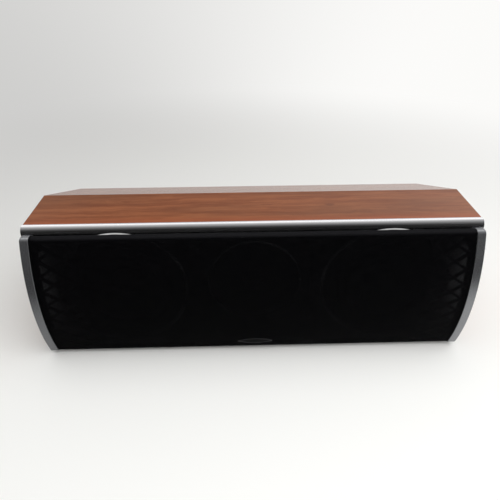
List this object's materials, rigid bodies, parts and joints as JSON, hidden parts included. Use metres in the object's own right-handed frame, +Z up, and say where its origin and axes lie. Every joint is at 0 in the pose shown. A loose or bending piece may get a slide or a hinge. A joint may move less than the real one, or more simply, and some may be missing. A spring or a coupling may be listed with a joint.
{
  "type": "center channel speaker",
  "caption": "Wide low center channel speaker: wood-grain cabinet with sloped rear top, curved black cloth grille between silver end bars, aluminium top edge, rear port and posts.",
  "frame": {"origin": "on the floor under the middle of the speaker's bounding box", "axes": "+X along the speaker, -Y towards the listener, +Z up"},
  "size_m": [0.5016, 0.237, 0.172],
  "materials": {
    "cherry_vinyl": "cherry wood-grain vinyl, semi-gloss",
    "board": "raw fibreboard",
    "back_vinyl": "black textured vinyl",
    "fibre": "white polyester fibre",
    "rubber": "matt black rubber",
    "fascia_black": "satin black moulding",
    "trim_silver": "satin anodised",
    "bar_silver": "metallic grey paint",
    "cloth_black": "fine black grille knit",
    "grille_black": "moulded black",
    "screw_black": "black oxide",
    "basket_black": "black powder coat",
    "ring_silver": "satin silver",
    "cone_grey": "mineral-filled polymer",
    "spider_cloth": "resin-treated cotton",
    "copper": "enamelled copper wire on a former",
    "steel": "zinc-plated steel",
    "ferrite": "sintered ferrite",
    "dome_grey": "coated silk dome",
    "circuit_green": "glass-epoxy board",
    "cap_blue": "film capacitor wrap",
    "resistor_white": "cement block",
    "lead_black": "insulated twin lead",
    "gold": "gold-plated brass",
    "post_red": "red moulding",
    "post_black": "black moulding",
    "badge_dark": "bare plate"
  },
  "bodies": {
    "cabinet": {"cabinet_wrap": "cherry_vinyl", "back_panel": "back_vinyl", "baffle_board": "board", "cabinet_braces": "board", "damping_pads": "fibre", "rubber_feet": "rubber", "front_fascia": "fascia_black", "top_trim": "trim_silver", "mounting_screws": "screw_black", "peg_sockets": "rubber", "port_tube": "fascia_black", "terminal_cup": "fascia_black", "post_nuts": "steel", "crossover_board": "circuit_green", "crossover_coils": "copper", "crossover_capacitors": "cap_blue", "crossover_resistors": "resistor_white", "driver_leads": "lead_black", "left_woofer_basket": "basket_black", "left_woofer_trim_ring": "ring_silver", "left_woofer_surround": "rubber", "left_woofer_spider": "spider_cloth", "left_woofer_top_plate": "steel", "left_woofer_magnet": "ferrite", "left_woofer_pole_yoke": "steel", "right_woofer_basket": "basket_black", "right_woofer_trim_ring": "ring_silver", "right_woofer_surround": "rubber", "right_woofer_spider": "spider_cloth", "right_woofer_top_plate": "steel", "right_woofer_magnet": "ferrite", "right_woofer_pole_yoke": "steel", "tweeter_faceplate": "fascia_black", "tweeter_trim_ring": "ring_silver", "tweeter_surround": "dome_grey", "tweeter_top_plate": "steel", "tweeter_magnet": "ferrite", "tweeter_pole_yoke": "steel", "red_post": "gold", "black_post": "gold"},
    "grille": {"grille_frame": "grille_black", "grille_cloth": "cloth_black", "left_end_bar": "bar_silver", "right_end_bar": "bar_silver", "grille_pegs": "grille_black", "badge_plate": "badge_dark"},
    "left_woofer_mover": {"left_woofer_cone": "cone_grey", "left_woofer_dust_cap": "cone_grey", "left_woofer_voice_coil": "copper"},
    "right_woofer_mover": {"right_woofer_cone": "cone_grey", "right_woofer_dust_cap": "cone_grey", "right_woofer_voice_coil": "copper"},
    "tweeter_mover": {"tweeter_dome": "dome_grey", "tweeter_voice_coil": "copper"},
    "red_washer": {"red_post_washer": "gold"},
    "red_cap": {"red_post_cap": "post_red"},
    "black_washer": {"black_post_washer": "gold"},
    "black_cap": {"black_post_cap": "post_black"}
  },
  "joints": [
    {"name": "grille_pull", "type": "slide", "parent": "cabinet", "child": "grille", "axis": [0, -1, 0], "range_m": [0, 0.12]},
    {"name": "left_cone_travel", "type": "slide", "parent": "cabinet", "child": "left_woofer_mover", "axis": [0, -1, 0], "range_m": [-0.004, 0.004], "stiffness_N_per_m": 1000, "deforming": ["left_woofer_surround", "left_woofer_spider"]},
    {"name": "right_cone_travel", "type": "slide", "parent": "cabinet", "child": "right_woofer_mover", "axis": [0, -1, 0], "range_m": [-0.004, 0.004], "stiffness_N_per_m": 1000, "deforming": ["right_woofer_surround", "right_woofer_spider"]},
    {"name": "dome_travel", "type": "slide", "parent": "cabinet", "child": "tweeter_mover", "axis": [0, -1, 0], "range_m": [-0.0004, 0.0004], "stiffness_N_per_m": 200, "deforming": ["tweeter_surround"]},
    {"name": "red_washer_slide", "type": "slide", "parent": "cabinet", "child": "red_washer", "axis": [0, 1, 0], "range_m": [0, 0.004]},
    {"name": "red_cap_turn", "type": "hinge", "parent": "red_washer", "child": "red_cap", "pos_m": [-0.00953, 0.0935, 0.06197], "axis": [0, 1, 0], "range_deg": [0, 1800]},
    {"name": "black_washer_slide", "type": "slide", "parent": "cabinet", "child": "black_washer", "axis": [0, 1, 0], "range_m": [0, 0.004]},
    {"name": "black_cap_turn", "type": "hinge", "parent": "black_washer", "child": "black_cap", "pos_m": [0.00953, 0.0935, 0.06197], "axis": [0, 1, 0], "range_deg": [0, 1800]}
  ],
  "couplings": [
    {"joint": "red_cap_turn", "follows": "red_washer_slide", "rad_per_m": 7854},
    {"joint": "black_cap_turn", "follows": "black_washer_slide", "rad_per_m": 7854}
  ]
}
